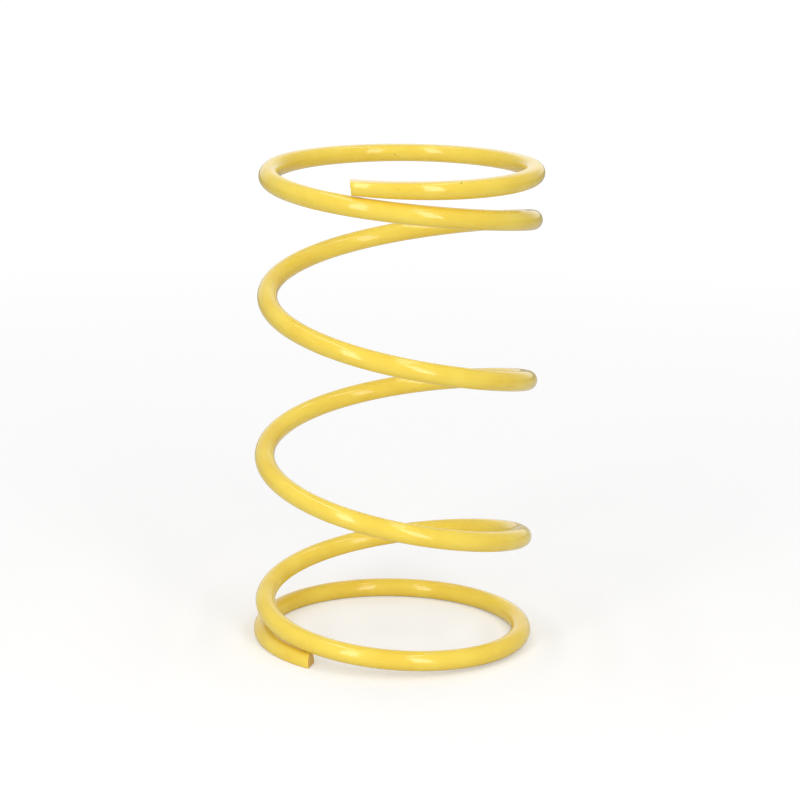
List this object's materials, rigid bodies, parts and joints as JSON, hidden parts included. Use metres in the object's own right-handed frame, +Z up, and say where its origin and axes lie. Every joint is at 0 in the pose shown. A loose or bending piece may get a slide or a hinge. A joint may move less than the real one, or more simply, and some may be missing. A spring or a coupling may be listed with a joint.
{
  "type": "compression spring",
  "caption": "Helical compression spring of round wire with a gloss yellow coating, wound left-handed, with closed and ground ends.",
  "frame": {"origin": "centre of the coil, on the level of the lower ground end", "axes": "+Z up along the coil's axis from the lower to the upper ground end, -Y the front, where the upper tip lies, +X to the right of it"},
  "size_m": [0.0624, 0.0624, 0.108],
  "materials": {
    "yellow_coat": "gloss yellow powder coat, baked on to spring steel wire"
  },
  "bodies": {
    "root": {"spring": "yellow_coat"}
  },
  "joints": []
}
